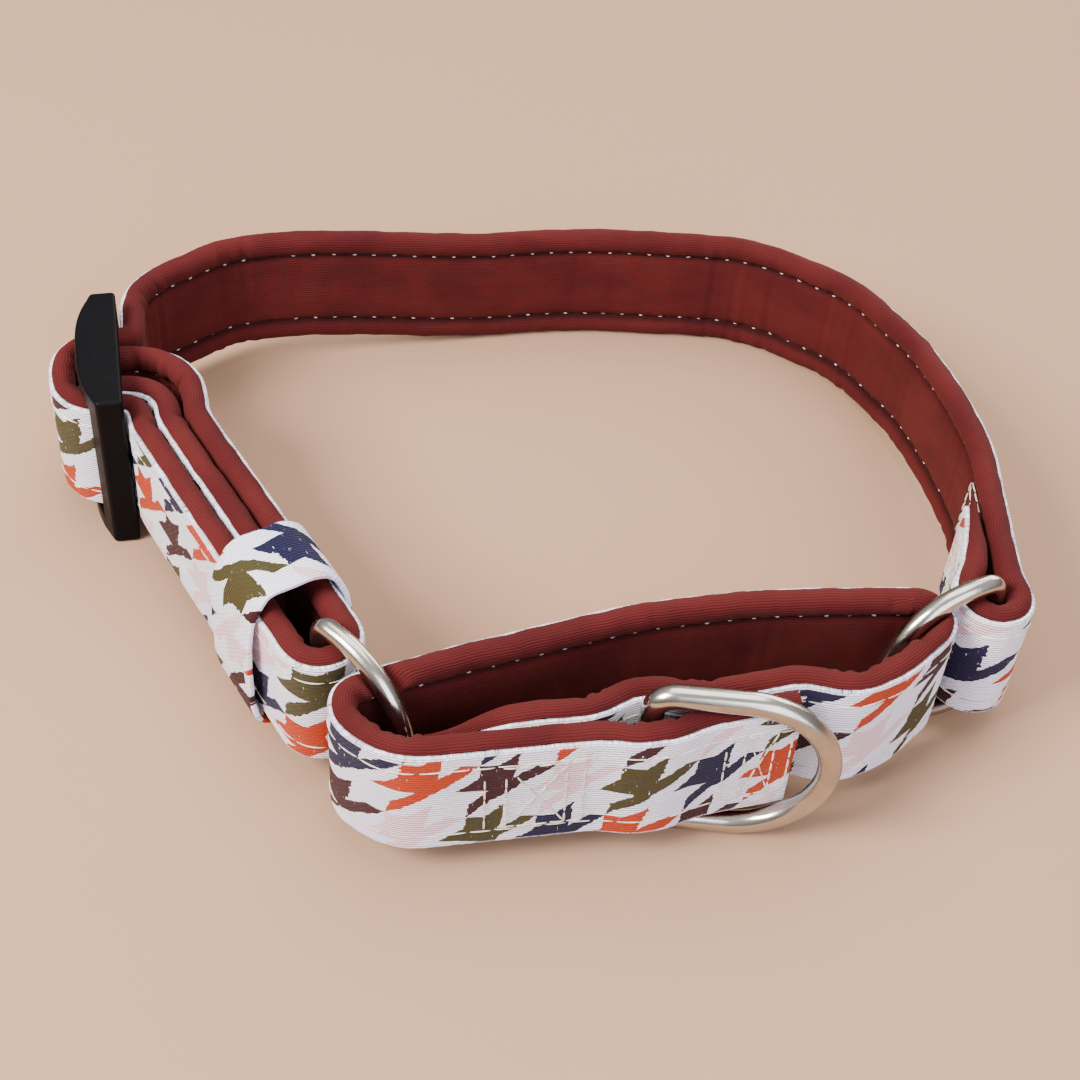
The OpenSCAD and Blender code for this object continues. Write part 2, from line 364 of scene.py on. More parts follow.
def ink_colour(shader, index):
    """One of the five inks, by its number."""
    ramp = shader.node("ShaderNodeValToRGB")
    ramp.color_ramp.interpolation = "CONSTANT"
    inks = [
        (0.44, 0.034, 0.003),
        (0.0035, 0.0016, 0.034),
        (0.050, 0.040, 0.008),
        (0.82, 0.58, 0.67),
        (0.034, 0.0022, 0.005),
    ]
    stops = ramp.color_ramp.elements
    while len(stops) < len(inks):
        stops.new(0.5)
    for k, (stop, ink) in enumerate(zip(stops, inks)):
        stop.position = k / len(inks)
        stop.color = (*ink, 1)
    shader.feed(ramp.inputs[0], shader.times(index, 1 / len(inks)))
    return ramp.outputs[0]


def webbing_material():
    """White tape with fine ribs and painted shade between them, printed with broken checks in five colours.
    """
    s = Shader("printed_webbing")
    along, across, _ = s.cloth_place()
    rib = 0.6
    row = s.math("FLOOR", s.times(across, 1 / rib))
    streak = s.noise(s.vector(s.times(along, 0.55), s.times(row, 0.83)), 1.0, 3.0, 0.7)
    drift = s.noise(s.vector(s.times(along, 0.12), s.times(across, 0.12)), 1.0)
    moved = s.add(along, s.add(s.times(s.subtract(streak, 0.5), 1.7), s.times(s.subtract(drift, 0.5), 2.0)))
    lifted = s.add(across, s.times(s.subtract(drift, 0.5), 1.6))
    printed, column, line = print_cell(s, moved, lifted)
    index = s.math("FLOORED_MODULO", s.add(s.add(column, s.times(line, 2)), 0.5), 5.0)
    ink = ink_colour(s, index)
    worn = s.noise(s.vector(s.times(along, 2.3), s.times(row, 1.31)), 1.0, 2.0, 0.8)
    cover = s.times(printed, s.remap(worn, 0.24, 0.34))
    edge = s.remap(s.math("ABSOLUTE", across), WEBBING_H / 2 - 1.1, WEBBING_H / 2 - 0.6)
    cover = s.times(cover, s.subtract(1.0, s.times(edge, s.remap(worn, 0.3, 0.55))))
    ground = s.mix(s.remap(drift, 0.35, 0.65), (0.89, 0.87, 1.0, 1), (0.82, 0.81, 1.0, 1))
    colour = s.mix(cover, ground, ink)
    ribs = ridges(s, across, rib)
    shift = s.times(s.math("FLOORED_MODULO", row, 2.0), 0.5)
    floats = s.math("ABSOLUTE", s.math("SINE", s.times(s.add(s.times(along, 1 / 1.1), shift), math.pi)))
    height = s.times(ribs, s.add(0.55, s.times(floats, 0.45)))
    # painted shade: the tape's colour is darkened in the low places between its ribs and floats, where
    # shade falls
    painted_rib_shade = s.remap(height, 0.0, 0.7, 0.7, 1.0)
    colour = s.mix(1.0, colour, s.vector(painted_rib_shade, painted_rib_shade, painted_rib_shade), "MULTIPLY")
    soil = s.times(edge, s.remap(worn, 0.45, 0.62))
    colour = s.mix(s.times(soil, 0.6), colour, (0.30, 0.20, 0.19, 1))
    s.set(Base_Color=colour, Roughness=0.62)
    s.surface.inputs["Sheen Weight"].default_value = 0.04
    s.surface.inputs["Specular IOR Level"].default_value = 0.2
    s.bump(height, 0.28, 0.9)
    return s.material


def lining_material():
    """Soft padded knit, maroon, with ribs along the strip, painted shade between the ribs and painted shade
    in its sewn grooves.
    """
    s = Shader("lining_knit")
    along, across, groove = s.cloth_place()
    rib = 0.52
    row = s.math("FLOOR", s.times(across, 1 / rib))
    ribs = ridges(s, across, rib)
    shift = s.times(s.math("FLOORED_MODULO", row, 2.0), 0.5)
    loops = s.math("ABSOLUTE", s.math("SINE", s.times(s.add(s.times(along, 1 / 0.55), shift), math.pi)))
    grain = s.noise(s.vector(s.times(along, 1.6), s.times(across, 3.5)), 1.0, 3.0, 0.65)
    cloud = s.noise(s.vector(s.times(along, 0.06), s.times(across, 0.11)), 1.0, 2.0)
    height = s.add(s.times(ribs, s.add(0.7, s.times(loops, 0.3))), s.times(grain, 0.35))
    base = s.mix(s.remap(cloud, 0.3, 0.7), (0.062, 0.0052, 0.0064, 1), (0.086, 0.0090, 0.0090, 1))
    # painted shade: the knit is darker where its ribs and loops are low, where shade falls
    base = s.mix(s.remap(height, 0.15, 1.1), s.mix(0.42, base, (0.012, 0.0008, 0.0014, 1)), base)
    # painted shade: nearly black mixed in along the seams' grooves, by the groove mask
    base = s.mix(s.times(groove, 0.72), base, (0.005, 0.0005, 0.0007, 1))
    fluff = s.remap(s.noise(s.vector(s.times(along, 2.6), s.times(across, 2.6)), 1.0, 1.0, 0.3), 0.80, 0.86)
    base = s.mix(s.times(fluff, 0.5), base, (0.26, 0.12, 0.11, 1))
    s.set(Base_Color=base, Roughness=0.82)
    s.surface.inputs["Sheen Weight"].default_value = 0.05
    s.surface.inputs["Sheen Roughness"].default_value = 0.45
    s.surface.inputs["Sheen Tint"].default_value = (0.8, 0.3, 0.25, 1)
    s.surface.inputs["Specular IOR Level"].default_value = 0.14
    s.bump(height, 0.13, 0.8)
    return s.material


def thread_material():
    """Cream sewing thread with a fine twist."""
    s = Shader("sewing_thread")
    along, across, _ = s.cloth_place()
    twist = ridges(s, s.add(along, s.times(across, 0.8)), 0.35)
    tone = s.noise(s.vector(s.times(along, 0.8), s.times(across, 0.8)), 1.0)
    colour = s.mix(s.remap(tone, 0.3, 0.7), (0.52, 0.46, 0.36, 1), (0.74, 0.70, 0.62, 1))
    s.set(Base_Color=colour, Roughness=0.5)
    s.surface.inputs["Sheen Weight"].default_value = 0.2
    s.bump(twist, 0.04, 0.7)
    return s.material


def steel_material():
    """Satin polished welded wire, with fine drawing marks and duller patches."""
    s = Shader("ring_steel")
    place = s.object_place()
    patches = s.noise(place, 130.0, 3.0, 0.6)
    marks = s.noise(place, 2600.0, 2.0, 0.6)
    colour = s.mix(s.remap(patches, 0.35, 0.7), (0.56, 0.53, 0.48, 1), (0.44, 0.41, 0.37, 1))
    roughness = s.add(s.remap(patches, 0.3, 0.7, 0.13, 0.24), s.times(marks, 0.05))
    s.set(Base_Color=colour, Metallic=1.0, Roughness=roughness)
    s.bump(marks, 0.012, 0.5)
    return s.material


def plastic_material():
    """Satin black moulded plastic with a fine spark-eroded texture and a few scuffs."""
    s = Shader("slider_plastic")
    place = s.object_place()
    texture = s.noise(place, 3200.0, 2.0, 0.7)
    flow = s.noise(place, 90.0, 3.0, 0.6)
    scuffs = s.remap(s.noise(place, 420.0, 4.0, 0.8), 0.63, 0.72)
    colour = s.mix(s.times(scuffs, 0.35), (0.0018, 0.0018, 0.0026, 1), (0.012, 0.012, 0.014, 1))
    s.set(Base_Color=colour, Roughness=s.remap(flow, 0.3, 0.7, 0.38, 0.5))
    s.surface.inputs["Specular IOR Level"].default_value = 0.08
    s.bump(s.add(s.times(texture, 0.6), s.times(flow, 0.4)), 0.03, 0.5)
    return s.material


def floor_material():
    """Plain, pale and dull."""
    s = Shader("pale_floor")
    s.set(Base_Color=(0.385, 0.232, 0.153, 1), Roughness=0.9)
    s.surface.inputs["Specular IOR Level"].default_value = 0.1
    return s.material


# --- strips ---------------------------------------------------------------------------------


def bend(before, corner, after, radius):
    """Points of the arc that rounds a corner."""
    d1 = (corner - before) / np.linalg.norm(corner - before)
    d2 = (after - corner) / np.linalg.norm(after - corner)
    turn = math.atan2(d1[0] * d2[1] - d1[1] * d2[0], d1 @ d2)
    side = math.copysign(1, turn)
    start = corner - radius * math.tan(abs(turn) / 2) * d1
    centre = start + side * radius * np.array([-d1[1], d1[0]])
    first = math.atan2(d1[1], d1[0])
    angles = first + turn * np.linspace(0, 1, 2 + int(abs(turn) / 0.05))
    return centre + side * radius * np.stack([np.sin(angles), -np.cos(angles)], 1)


def ease(t):
    """Rises smoothly from 0 to 1 as t does."""
    t = np.clip(t, 0, 1)
    return t * t * (3 - 2 * t)


def wave(s, length, phase=0.0):
    """Uneven ripple of about one length, between -1 and 1."""
    turns = 2 * math.pi * s / length
    return (np.sin(turns + phase) + np.sin(1.618 * turns + 2.1 * phase) + np.sin(0.37 * turns + phase)) / 3


class Route:
    """Middle line of an upright strip, whose padding gets thinner and lower along its tail."""

    step = 0.7
    softness = 1.3
    thinned = 2.6

    def __init__(self, corners, foot, pressed=(), tail=(16, 1.5)):
        self.tail = tail
        spots = [np.array(c[:2], float) for c in corners]
        parts = [spots[:1]]
        for k in range(1, len(spots) - 1):
            parts.append(bend(spots[k - 1], spots[k], spots[k + 1], corners[k][2]))
        line = np.concatenate([*parts, spots[-1:]])
        gone = np.concatenate([[0], np.cumsum(np.linalg.norm(np.diff(line, axis=0), axis=1))])
        even = np.linspace(0, gone[-1], int(gone[-1] / self.step))
        line = np.stack([np.interp(even, gone, line[:, k]) for k in (0, 1)], 1)
        self.points = self.softened(line)
        lengths = np.linalg.norm(np.diff(self.points, axis=0), axis=1)
        self.along = np.concatenate([[0], np.cumsum(lengths)])
        self.length = self.along[-1]
        heading = np.gradient(self.points, self.along, axis=0)
        heading /= np.linalg.norm(heading, axis=1)[:, None]
        self.left = np.stack([-heading[:, 1], heading[:, 0]], 1)
        angle = np.unwrap(np.arctan2(heading[:, 1], heading[:, 0]))
        self.turn = np.gradient(angle, self.along)
        self.foot = foot(self.points[:, 0], self.points[:, 1])
        self.pressed = pressed

    def softened(self, line):
        """Takes the kink out of where arcs meet straights; the ends stay put."""
        reach = int(4 * self.softness / self.step)
        weights = np.exp(-0.5 * (np.arange(-reach, reach + 1) * self.step / self.softness) ** 2)
        weights /= weights.sum()
        before = 2 * line[0] - line[reach:0:-1]
        after = 2 * line[-1] - line[-2:-reach - 2:-1]
        full = np.concatenate([before, line, after])
        return np.stack([np.convolve(full[:, k], weights, "valid") for k in (0, 1)], 1)

    def at(self, s, values):
        return np.interp(s, self.along, values)

    def place(self, s, n, z):
        """Points at s along, n to the left and z above the middle of the strip's height."""
        reach, drop = self.tail
        ended = ease((s - self.length + reach) / reach)
        n = n - self.thinned * ended * np.clip((n + HALF_T) / LINING_T, 0, 1)
        z = z - drop * ended * np.clip(0.5 + z / LINING_H, 0, 1)
        x = self.at(s, self.points[:, 0]) + n * self.at(s, self.left[:, 0])
        y = self.at(s, self.points[:, 1]) + n * self.at(s, self.left[:, 1])
        for ring in self.pressed:
            z = ring.press(x, y, z)
        height = np.maximum(self.at(s, self.foot) + LINING_H / 2 + z, FLOOR_GAP)
        return np.stack([x, y, height], -1)

    def nearest(self, spot, low=0.0, high=math.inf):
        """Distance along to the point nearest a spot, between two limits."""
        far = np.linalg.norm(self.points - np.array(spot), axis=1)
        far[(self.along < low) | (self.along > high)] = math.inf
        return self.along[np.argmin(far)]


class RingPlace:
    """Where a side ring crosses a strip, for pressing the strip's edges under its bow."""

    clear = 0.35            # room left under the wire
    slope_aside = 1.7       # how fast the strip rises again beside the ring
    slope_ahead = 6         # and beyond the end of its bow
    soft = 0.45             # rounding of the pressed edge

    def __init__(self, bar, heading, wire, reach):
        self.bar = bar
        self.ahead = np.array([math.cos(heading), math.sin(heading)])
        self.wire = wire
        self.reach = reach

    def press(self, x, y, z):
        half = (OPENING_H + self.wire) / 2
        dx = x - self.bar[0]
        dy = y - self.bar[1]
        out = dx * self.ahead[0] + dy * self.ahead[1]
        off = np.abs(dy * self.ahead[0] - dx * self.ahead[1])
        past = np.clip(out - (self.reach - half), 0, half - 0.5)
        room = np.sqrt(half * half - past * past) - self.wire / 2 - self.clear
        beside = self.slope_aside * np.maximum(0, off - 1.5)
        beyond = self.slope_ahead * np.maximum(0, out - self.reach + 2)
        room = room + beside + beyond
        room = np.where(out < 0, 60, room)
        short = np.abs(np.abs(z) - room) / self.soft
        high = np.minimum(np.abs(z), room) - self.soft * np.log1p(np.exp(-short))
        return np.sign(z) * np.maximum(high, 0)


def lining_section():
    """Outline (n, z) of the padded lining: flat back, rolled edges, a groove at each seam."""
    roll_z = 11.15
    roll = (2.3, LINING_H / 2 - roll_z)
    roll_n = -0.2
    back = [(WEBBING_T + 0.03, z) for z in (0.0, 4.0, 8.0, 10.6, 12.0)]
    edge = [(roll_n - roll[0] * math.sin(a), roll_z + roll[1] * math.cos(a))
            for a in np.radians(np.linspace(-58, 148, 19))]
    pad = [(-1.02 - 1.05 * (1 - math.exp((z - SEAM_Z) / 0.8)), z)
           for z in SEAM_Z - 6.5 * np.linspace(0, 1, 11) ** 1.8]
    upper = back + edge + pad
    lower = [(n, -z) for n, z in reversed(upper)]
    return np.array(upper + lower[:-1])


def webbing_section(height=WEBBING_H - TUCKED):
    """Outline (n, z) of the tape: flat faces and rounded edges."""
    edge_r = 0.42
    low = HALF_T - WEBBING_T
    outer = [(HALF_T, z) for z in np.linspace(-height / 2 + 0.9, height / 2 - 0.9, 13)]
    top = [(HALF_T - edge_r + edge_r * math.cos(a), height / 2 - edge_r + edge_r * math.sin(a))
           for a in np.radians((15, 40, 65, 90))]
    back_top = [(low + edge_r * (1 - math.sin(a)), height / 2 - edge_r + edge_r * math.cos(a))
                for a in np.radians((20, 55, 85))]
    upper = top + back_top
    lower = [(n, -z) for n, z in reversed(upper)]
    inner = [(low, z) for z in np.linspace(height / 2 - 2, -height / 2 + 2, 5)]
    return np.array(outer + upper + inner + lower)


def lining_shape(route, s, n, z):
    """Puckers at the seams, wrinkles inside tight bends and a soft wander of the rolled edges."""
    neck_side = np.clip((0.4 - n) / 2, 0, 1)
    high = np.abs(z)
    phase = np.where(z > 0, 0.0, 1.9)
    pucker = 0.34 * np.exp(-((high - SEAM_Z) / 1.7) ** 2) * wave(s, 3.1, phase)
    turn = np.clip(-route.at(s, route.turn), 0, 1)
    tight = np.clip(turn * 14, 0, 1) * (1 - 0.75 * np.clip((turn - 0.06) * 12, 0, 1))
    wrinkle = tight * 0.8 * wave(s, 4.6, 0.8) * (1 - 0.5 * np.exp(-((high - SEAM_Z) / 1.0) ** 2))
    slack = 0.16 * wave(s, 13.0, 2.3) * np.exp(-(high / 7) ** 2)
    edge = ease((high - 9) / 2.5)
    n = n - neck_side * (pucker + wrinkle + slack) + edge * 0.13 * wave(s, 9.0, phase)
    z = z + np.sign(z) * edge * (0.16 * wave(s, 17.0, phase) + 0.05 * wave(s, 2.9, phase))
    return n, z


def webbing_shape(route, s, n, z):
    """A tape that isn't quite flat, with an uneven woven edge."""
    edge = ease((np.abs(z) - WEBBING_H / 2 + 2) / 2)
    z = z + np.sign(z) * edge * (0.10 * wave(s, 1.3, 0.7) + 0.14 * wave(s, 21.0, 0.3))
    n = n + 0.05 * wave(s, 5.5, 1.1) * np.clip(n, 0, 1)
    return n, z


def mesh_piece(name, points, faces, lay, material):
    """A smooth-shaded object from points in millimetres; lay is kept for the material."""
    mesh = bpy.data.meshes.new(name)
    mesh.from_pydata((points * MM).tolist(), [], faces)
    attribute = mesh.attributes.new("lay", "FLOAT_VECTOR", "POINT")
    attribute.data.foreach_set("vector", np.asarray(lay, np.float32).ravel())
    mesh.materials.append(material)
    mesh.shade_smooth()
    piece = bpy.data.objects.new(name, mesh)
    bpy.context.collection.objects.link(piece)
    return piece


def outline_distance(section):
    """Distance round the outline from its first point."""
    steps = np.linalg.norm(np.diff(section, axis=0), axis=1)
    return np.concatenate([[0], np.cumsum(steps)])


def sweep(name, route, low, high, section, shape, material, across, through):
    """Carries the section along the route, from low to high."""
    count = int((high - low) / 0.8) + 2
    width = len(section)
    s = np.repeat(np.linspace(low, high, count), width)
    n = np.tile(section[:, 0], count)
    z = np.tile(section[:, 1], count)
    lay = np.stack([s, np.tile(across, count), np.tile(through, count)], 1)
    n, z = shape(route, s, n, z)
    points = route.place(s, n, z)
    faces = []
    for i in range(count - 1):
        a = i * width
        for j in range(width):
            k = (j + 1) % width
            faces.append((a + j, a + k, a + width + k, a + width + j))
    faces.append(tuple(range(width - 1, -1, -1)))
    faces.append(tuple(range((count - 1) * width, count * width)))
    piece = mesh_piece(name, points, faces, lay, material)
    piece.data.set_sharp_from_angle(angle=math.radians(60))
    return piece


def webbing_piece(name, route, low, high):
    """Printed tape along a stretch of the route."""
    section = webbing_section()
    piece = sweep(name, route, low, high, section, webbing_shape, WEBBING, section[:, 1], section[:, 0])
    return piece


def lining_piece(name, route, low, high):
    """Padded lining along a stretch of the route, with painted shade in the grooves of its seams."""
    section = lining_section()
    # mask of the painted shade in the grooves: strongest at the seams' height, on the neck side only
    grooves = np.exp(-((np.abs(section[:, 1]) - SEAM_Z - 0.3) / 0.75) ** 2) * (section[:, 0] < 0)
    piece = sweep(name, route, low, high, section, lining_shape, LINING, outline_distance(section), grooves)
    return piece


# --- thread -----------------------------------------------------------------------------------


class Threads:
    """Collects stitches that lie on a strip's face and makes one mesh of them."""

    sides = 6
    rings = 6

    def __init__(self, route, shape):
        self.route = route
        self.shape = shape
        self.points = []
        self.faces = []
        self.lay = []
        self.count = 0

    def stitch(self, start, end, n, rise, radius):
        """One stitch from start to end (s, z) that comes out of the cloth and goes back in."""
        start = np.array(start, float)
        end = np.array(end, float)
        ahead = (end - start) / np.linalg.norm(end - start)
        aside = np.array([-ahead[1], ahead[0]])
        t = np.linspace(0, 1, self.rings)
        out = math.copysign(1, n) * (rise * np.sin(math.pi * t) ** 0.6 - 0.3 * rise)
        thick = radius * (0.55 + 0.45 * np.sin(math.pi * t) ** 0.5)
        turns = np.linspace(0, 2 * math.pi, self.sides, endpoint=False)
        spot = start[None, :] + t[:, None] * (end - start)[None, :]
        s = spot[:, 0, None] + aside[0] * thick[:, None] * np.sin(turns)[None, :]
        z = spot[:, 1, None] + aside[1] * thick[:, None] * np.sin(turns)[None, :]
        depth = n + out[:, None] + thick[:, None] * np.cos(turns)[None, :]
        s = s.ravel()
        z = z.ravel()
        moved_n, moved_z = self.shape(self.route, s, depth.ravel(), z)
        self.points.append(self.route.place(s, moved_n, moved_z))
        self.lay.append(np.stack([s, depth.ravel(), z], 1))
        for i in range(self.rings - 1):
            a = self.count + i * self.sides
            for j in range(self.sides):
                k = (j + 1) % self.sides
                self.faces.append((a + j, a + k, a + self.sides + k, a + self.sides + j))
        last = self.count + (self.rings - 1) * self.sides
        self.faces.append(tuple(range(self.count + self.sides - 1, self.count - 1, -1)))
        self.faces.append(tuple(range(last, last + self.sides)))
        self.count += self.rings * self.sides

    def line(self, start, end, n, pitch, cover, rise, radius, seed):
        """A row of stitches from start to end (s, z), a little uneven."""
        random = np.random.default_rng(seed)
        start = np.array(start, float)
        end = np.array(end, float)
        long = np.linalg.norm(end - start)
        ahead = (end - start) / long
        for k in range(max(1, int(long / pitch))):
            a = start + ahead * pitch * (k + random.uniform(0.0, 0.06))
            b = a + ahead * pitch * cover * random.uniform(0.92, 1.0)
            a[1] += random.normal(0, 0.06)
            b[1] += random.normal(0, 0.06)
            depth = n(a[1] / 2 + b[1] / 2) if callable(n) else n
            self.stitch(a, b, depth, rise * random.uniform(0.3, 1.0), radius)

    def made(self, name):
        piece = mesh_piece(name, np.concatenate(self.points), self.faces, np.concatenate(self.lay), THREAD)
        return piece


def seam_threads(name, route, low, high, seed):
    """Short stitches in the lining's grooves and long ones on the printed side."""
    threads = Threads(route, plain_shape)
    for k, side in enumerate((-1, 1)):
        z = side * SEAM_Z
        threads.line((low + 1, z), (high - 1, z), -1.1, LINING_STITCH, 0.19, 0.11, 0.15, seed + k)
        z = side * (SEAM_Z + 0.1)
        threads.line((low + 1, z), (high - 1, z), HALF_T + 0.02, PRINT_STITCH, 0.9, 0.1, 0.15, seed + 4 + k)
    return threads.made(name)


def pad_face(z):
    """How far out the lining's padded face is, at a height between the two seams."""
    return -1.07 - 1.05 * (1 - math.exp((min(abs(z), SEAM_Z) - SEAM_Z) / 0.8))


def plain_shape(route, s, n, z):
    """Leaves a point where it is."""
    return n, z


def box_threads(name, route, low, high, n, seed):
    """A sewn box: double rows across each end, rows along the edges and a cross."""
    tall = 8.0
    threads = Threads(route, plain_shape)
    rows = [low, low + 3.1, high - 3.6, high]
    for k, s in enumerate(rows):
        threads.line((s, -tall), (s + 0.35, tall), n, 2.7, 0.9, 0.14, 0.2, seed + k)
    for k, z in enumerate((-tall, tall)):
        threads.line((low, z), (high, z), n, 2.9, 0.92, 0.14, 0.18, seed + 6 + k)
    threads.line((low + 3, -tall), (high - 3.5, tall), n, 3.2, 0.93, 0.16, 0.17, seed + 9)
    threads.line((low + 3, tall), (high - 3.5, -tall), n, 3.2, 0.93, 0.16, 0.17, seed + 10)
    return threads.made(name)


def corner_threads(name, route, low, seed):
    """The part of the right end's sewn box that shows on the strap's own lining."""
    threads = Threads(route, plain_shape)
    tall = 7.6
    long = 9
    threads.line((low, tall), (low, -tall), pad_face, 2.7, 0.9, 0.16, 0.2, seed)
    threads.line((low, tall), (low + long, tall), pad_face, 2.9, 0.9, 0.16, 0.18, seed + 1)
    threads.line((low + 0.4, 7.0), (low + long, -1), pad_face, 3.2, 0.9, 0.16, 0.17, seed + 2)
    return threads.made(name)


# --- hardware -------------------------------------------------------------------------------


def ring_piece(name, bar, heading, wire, reach, corner, material):
    """Round wire bent to a D: straight bar, two corners, two arms and a half-round bow."""
    half = (OPENING_H + wire) / 2
    quarter = np.linspace(0, math.pi / 2, 9)
    half_turn = np.linspace(-math.pi / 2, math.pi / 2, 57)
    straight = np.linspace(corner - half, half - corner, 12)[1:-1]
    bar_line = np.stack([np.zeros(10), straight], 1)
    top = np.stack([corner - corner * np.cos(quarter), half - corner + corner * np.sin(quarter)], 1)
    bow = np.stack([reach - half + half * np.cos(half_turn), -half * np.sin(half_turn)], 1)
    back = quarter[::-1]
    arm_low = np.stack([corner - corner * np.cos(back), corner - half - corner * np.sin(back)], 1)
    line = np.concatenate([bar_line, top, bow, arm_low])
    ahead = np.roll(line, -1, 0) - np.roll(line, 1, 0)
    ahead /= np.linalg.norm(ahead, axis=1)[:, None]
    aside = np.stack([-ahead[:, 1], ahead[:, 0]], 1)
    sides = 28
    turns = np.linspace(0, 2 * math.pi, sides, endpoint=False)
    flat = line[:, None, :] + wire / 2 * aside[:, None, :] * np.cos(turns)[None, :, None]
    off = np.broadcast_to(wire / 2 * np.sin(turns)[None, :], flat.shape[:2])
    c = math.cos(heading)
    d = math.sin(heading)
    x = bar[0] + flat[..., 0] * c - off * d
    y = bar[1] + flat[..., 0] * d + off * c
    points = np.stack([x, y, MIDDLE_Z + flat[..., 1]], -1).reshape(-1, 3)
    count = len(line)
    faces = []
    for i in range(count):
        a = i * sides
        b = ((i + 1) % count) * sides
        for j in range(sides):
            k = (j + 1) % sides
            faces.append((a + j, b + j, b + k, a + k))
    lay = np.zeros((len(points), 3))
    piece = mesh_piece(name, points, faces, lay, material)
    return piece


def slider_vert(shell, x, y, z):
    """A corner of the moulding, measured from the slider's middle and from the floor."""
    return shell.verts.new(((SLIDER_AT[0] + x) * MM, (SLIDER_AT[1] + y) * MM, z * MM))


def add_slider_frame(shell, thick):
    """The two end plates, with an arched outer side, and the two outer bars between them."""
    flat_x = SIDE_BAR_T / 2
    end_x = -3.1
    arch = 3.4

    def outer_x(y):
        return end_x - arch * math.cos(math.pi / 2 * min(1, abs(y) / SLIDER_HALF) ** 1.5)

    ys = [-SLIDER_HALF, -SLOT_EDGE, *np.linspace(-SLOT_EDGE, SLOT_EDGE, 23)[1:-1], SLOT_EDGE, SLIDER_HALF]
    levels = (0, thick, HARDWARE_H - thick, HARDWARE_H)
    flat_side = [[slider_vert(shell, flat_x, y, z) for y in ys] for z in levels]
    outer_side = [[slider_vert(shell, outer_x(y), y, z) for y in ys] for z in levels]
    last = len(ys) - 1
    for k in (0, 3):
        ring = flat_side[k] + outer_side[k][::-1]
        shell.faces.new(ring if k == 3 else ring[::-1])
    for k in (1, 2):
        ring = flat_side[k][1:last] + outer_side[k][1:last][::-1]
        shell.faces.new(ring if k == 1 else ring[::-1])
    for low in (0, 1, 2):
        for i in range(last):
            if low == 1 and 0 < i < last - 1:
                continue
            a, b = flat_side[low], flat_side[low + 1]
            shell.faces.new((a[i], a[i + 1], b[i + 1], b[i]))
            a, b = outer_side[low], outer_side[low + 1]
            shell.faces.new((a[i + 1], a[i], b[i], b[i + 1]))
        for i in (0, last):
            quad = (flat_side[low][i], outer_side[low][i], outer_side[low + 1][i], flat_side[low + 1][i])
            shell.faces.new(quad)
    for i in (1, last - 1):
        shell.faces.new((flat_side[1][i], outer_side[1][i], outer_side[2][i], flat_side[2][i]))


def add_middle_bar(shell, thick):
    """The middle bar, which reaches 1 mm into each end plate."""
    bar_x, bar_y = MIDDLE_BAR[0] / 2, MIDDLE_BAR[1] / 2
    corners = ((-1, -1), (1, -1), (1, 1), (-1, 1))
    levels = (thick - 1, HARDWARE_H - thick + 1)
    rails = [[slider_vert(shell, x * bar_x, y * bar_y, z) for x, y in corners] for z in levels]
    for i in range(4):
        k = (i + 1) % 4
        shell.faces.new((rails[0][i], rails[0][k], rails[1][k], rails[1][i]))
    shell.faces.new(rails[0][::-1])
    shell.faces.new(rails[1])


def slider_shell():
    """Mesh of the tri-glide: two end plates joined by three bars."""
    thick = (HARDWARE_H - OPENING_H) / 2
    shell = bmesh.new()
    add_slider_frame(shell, thick)
    add_middle_bar(shell, thick)
    bmesh.ops.recalc_face_normals(shell, faces=shell.faces)
    mesh = bpy.data.meshes.new("slider_moulding")
    shell.to_mesh(mesh)
    shell.free()
    return mesh


def slider_piece(material):
    """The tri-glide moulding, with rounded edges."""
    mesh = slider_shell()
    mesh.materials.append(material)
    mesh.shade_smooth()
    piece = bpy.data.objects.new("slider_moulding", mesh)
    bpy.context.collection.objects.link(piece)
    round_edges = piece.modifiers.new("rounded", "BEVEL")
    round_edges.width = 0.75 * MM
    round_edges.segments = 4
    round_edges.limit_method = "ANGLE"
    round_edges.angle_limit = math.radians(40)
    round_edges.harden_normals = True
    return piece


def keeper_outline(count=96):
    """Points (across, z) of the band's middle line: a rounded box with an arched top."""
    half_w = 9.9
    angles = np.linspace(0, 2 * math.pi, count, endpoint=False) - math.pi / 2
    c, d = np.cos(angles), np.sin(angles)
    upper = d > 0
    power_x = np.where(upper, 0.54, 0.45)
    power_z = np.where(upper, 0.78, 0.45)
    half_h = np.where(upper, 17.6, 15.9)
    across = half_w * np.sign(c) * np.abs(c) ** power_x
    z = half_h * np.sign(d) * np.abs(d) ** power_z
    return np.stack([across, z], 1)


def keeper_piece():
    """Band of printed tape round both layers of the run."""
    line = keeper_outline()
    count = len(line)
    ahead = np.roll(line, -1, 0) - np.roll(line, 1, 0)
    ahead /= np.linalg.norm(ahead, axis=1)[:, None]
    outward = np.stack([ahead[:, 1], -ahead[:, 0]], 1)
    gone = np.concatenate([[0], np.cumsum(np.linalg.norm(np.diff(line, axis=0), axis=1))])
    section = webbing_section(KEEPER_W)
    width = len(section)
    middle = on_run(KEEPER_AT, PITCH)
    points, lay = [], []
    for i in range(count):
        sag = 0.12 * math.sin(7 * gone[i] / 10)
        for n, z in section:
            u, h = line[i] + outward[i] * (n - HALF_T + WEBBING_T / 2 + 0.06 * math.sin(gone[i]))
            edge = z + 0.1 * math.copysign(math.sin(4.1 * gone[i]), z) * (abs(z) > KEEPER_W / 2 - 1) + sag
            spot = middle + edge * RUN_DIR + u * RUN_ACROSS
            points.append((spot[0], spot[1], MIDDLE_Z + h))
            lay.append((gone[i] + 300, z, n))
    faces = []
    for i in range(count):
        a, b = i * width, ((i + 1) % count) * width
        for j in range(width):
            k = (j + 1) % width
            faces.append((a + j, b + j, b + k, a + k))
    piece = mesh_piece("keeper_band", np.array(points), faces, lay, WEBBING)
    piece.data.set_sharp_from_angle(angle=math.radians(60))
    return piece


# --- the whole collar ---------------------------------------------------------------------------


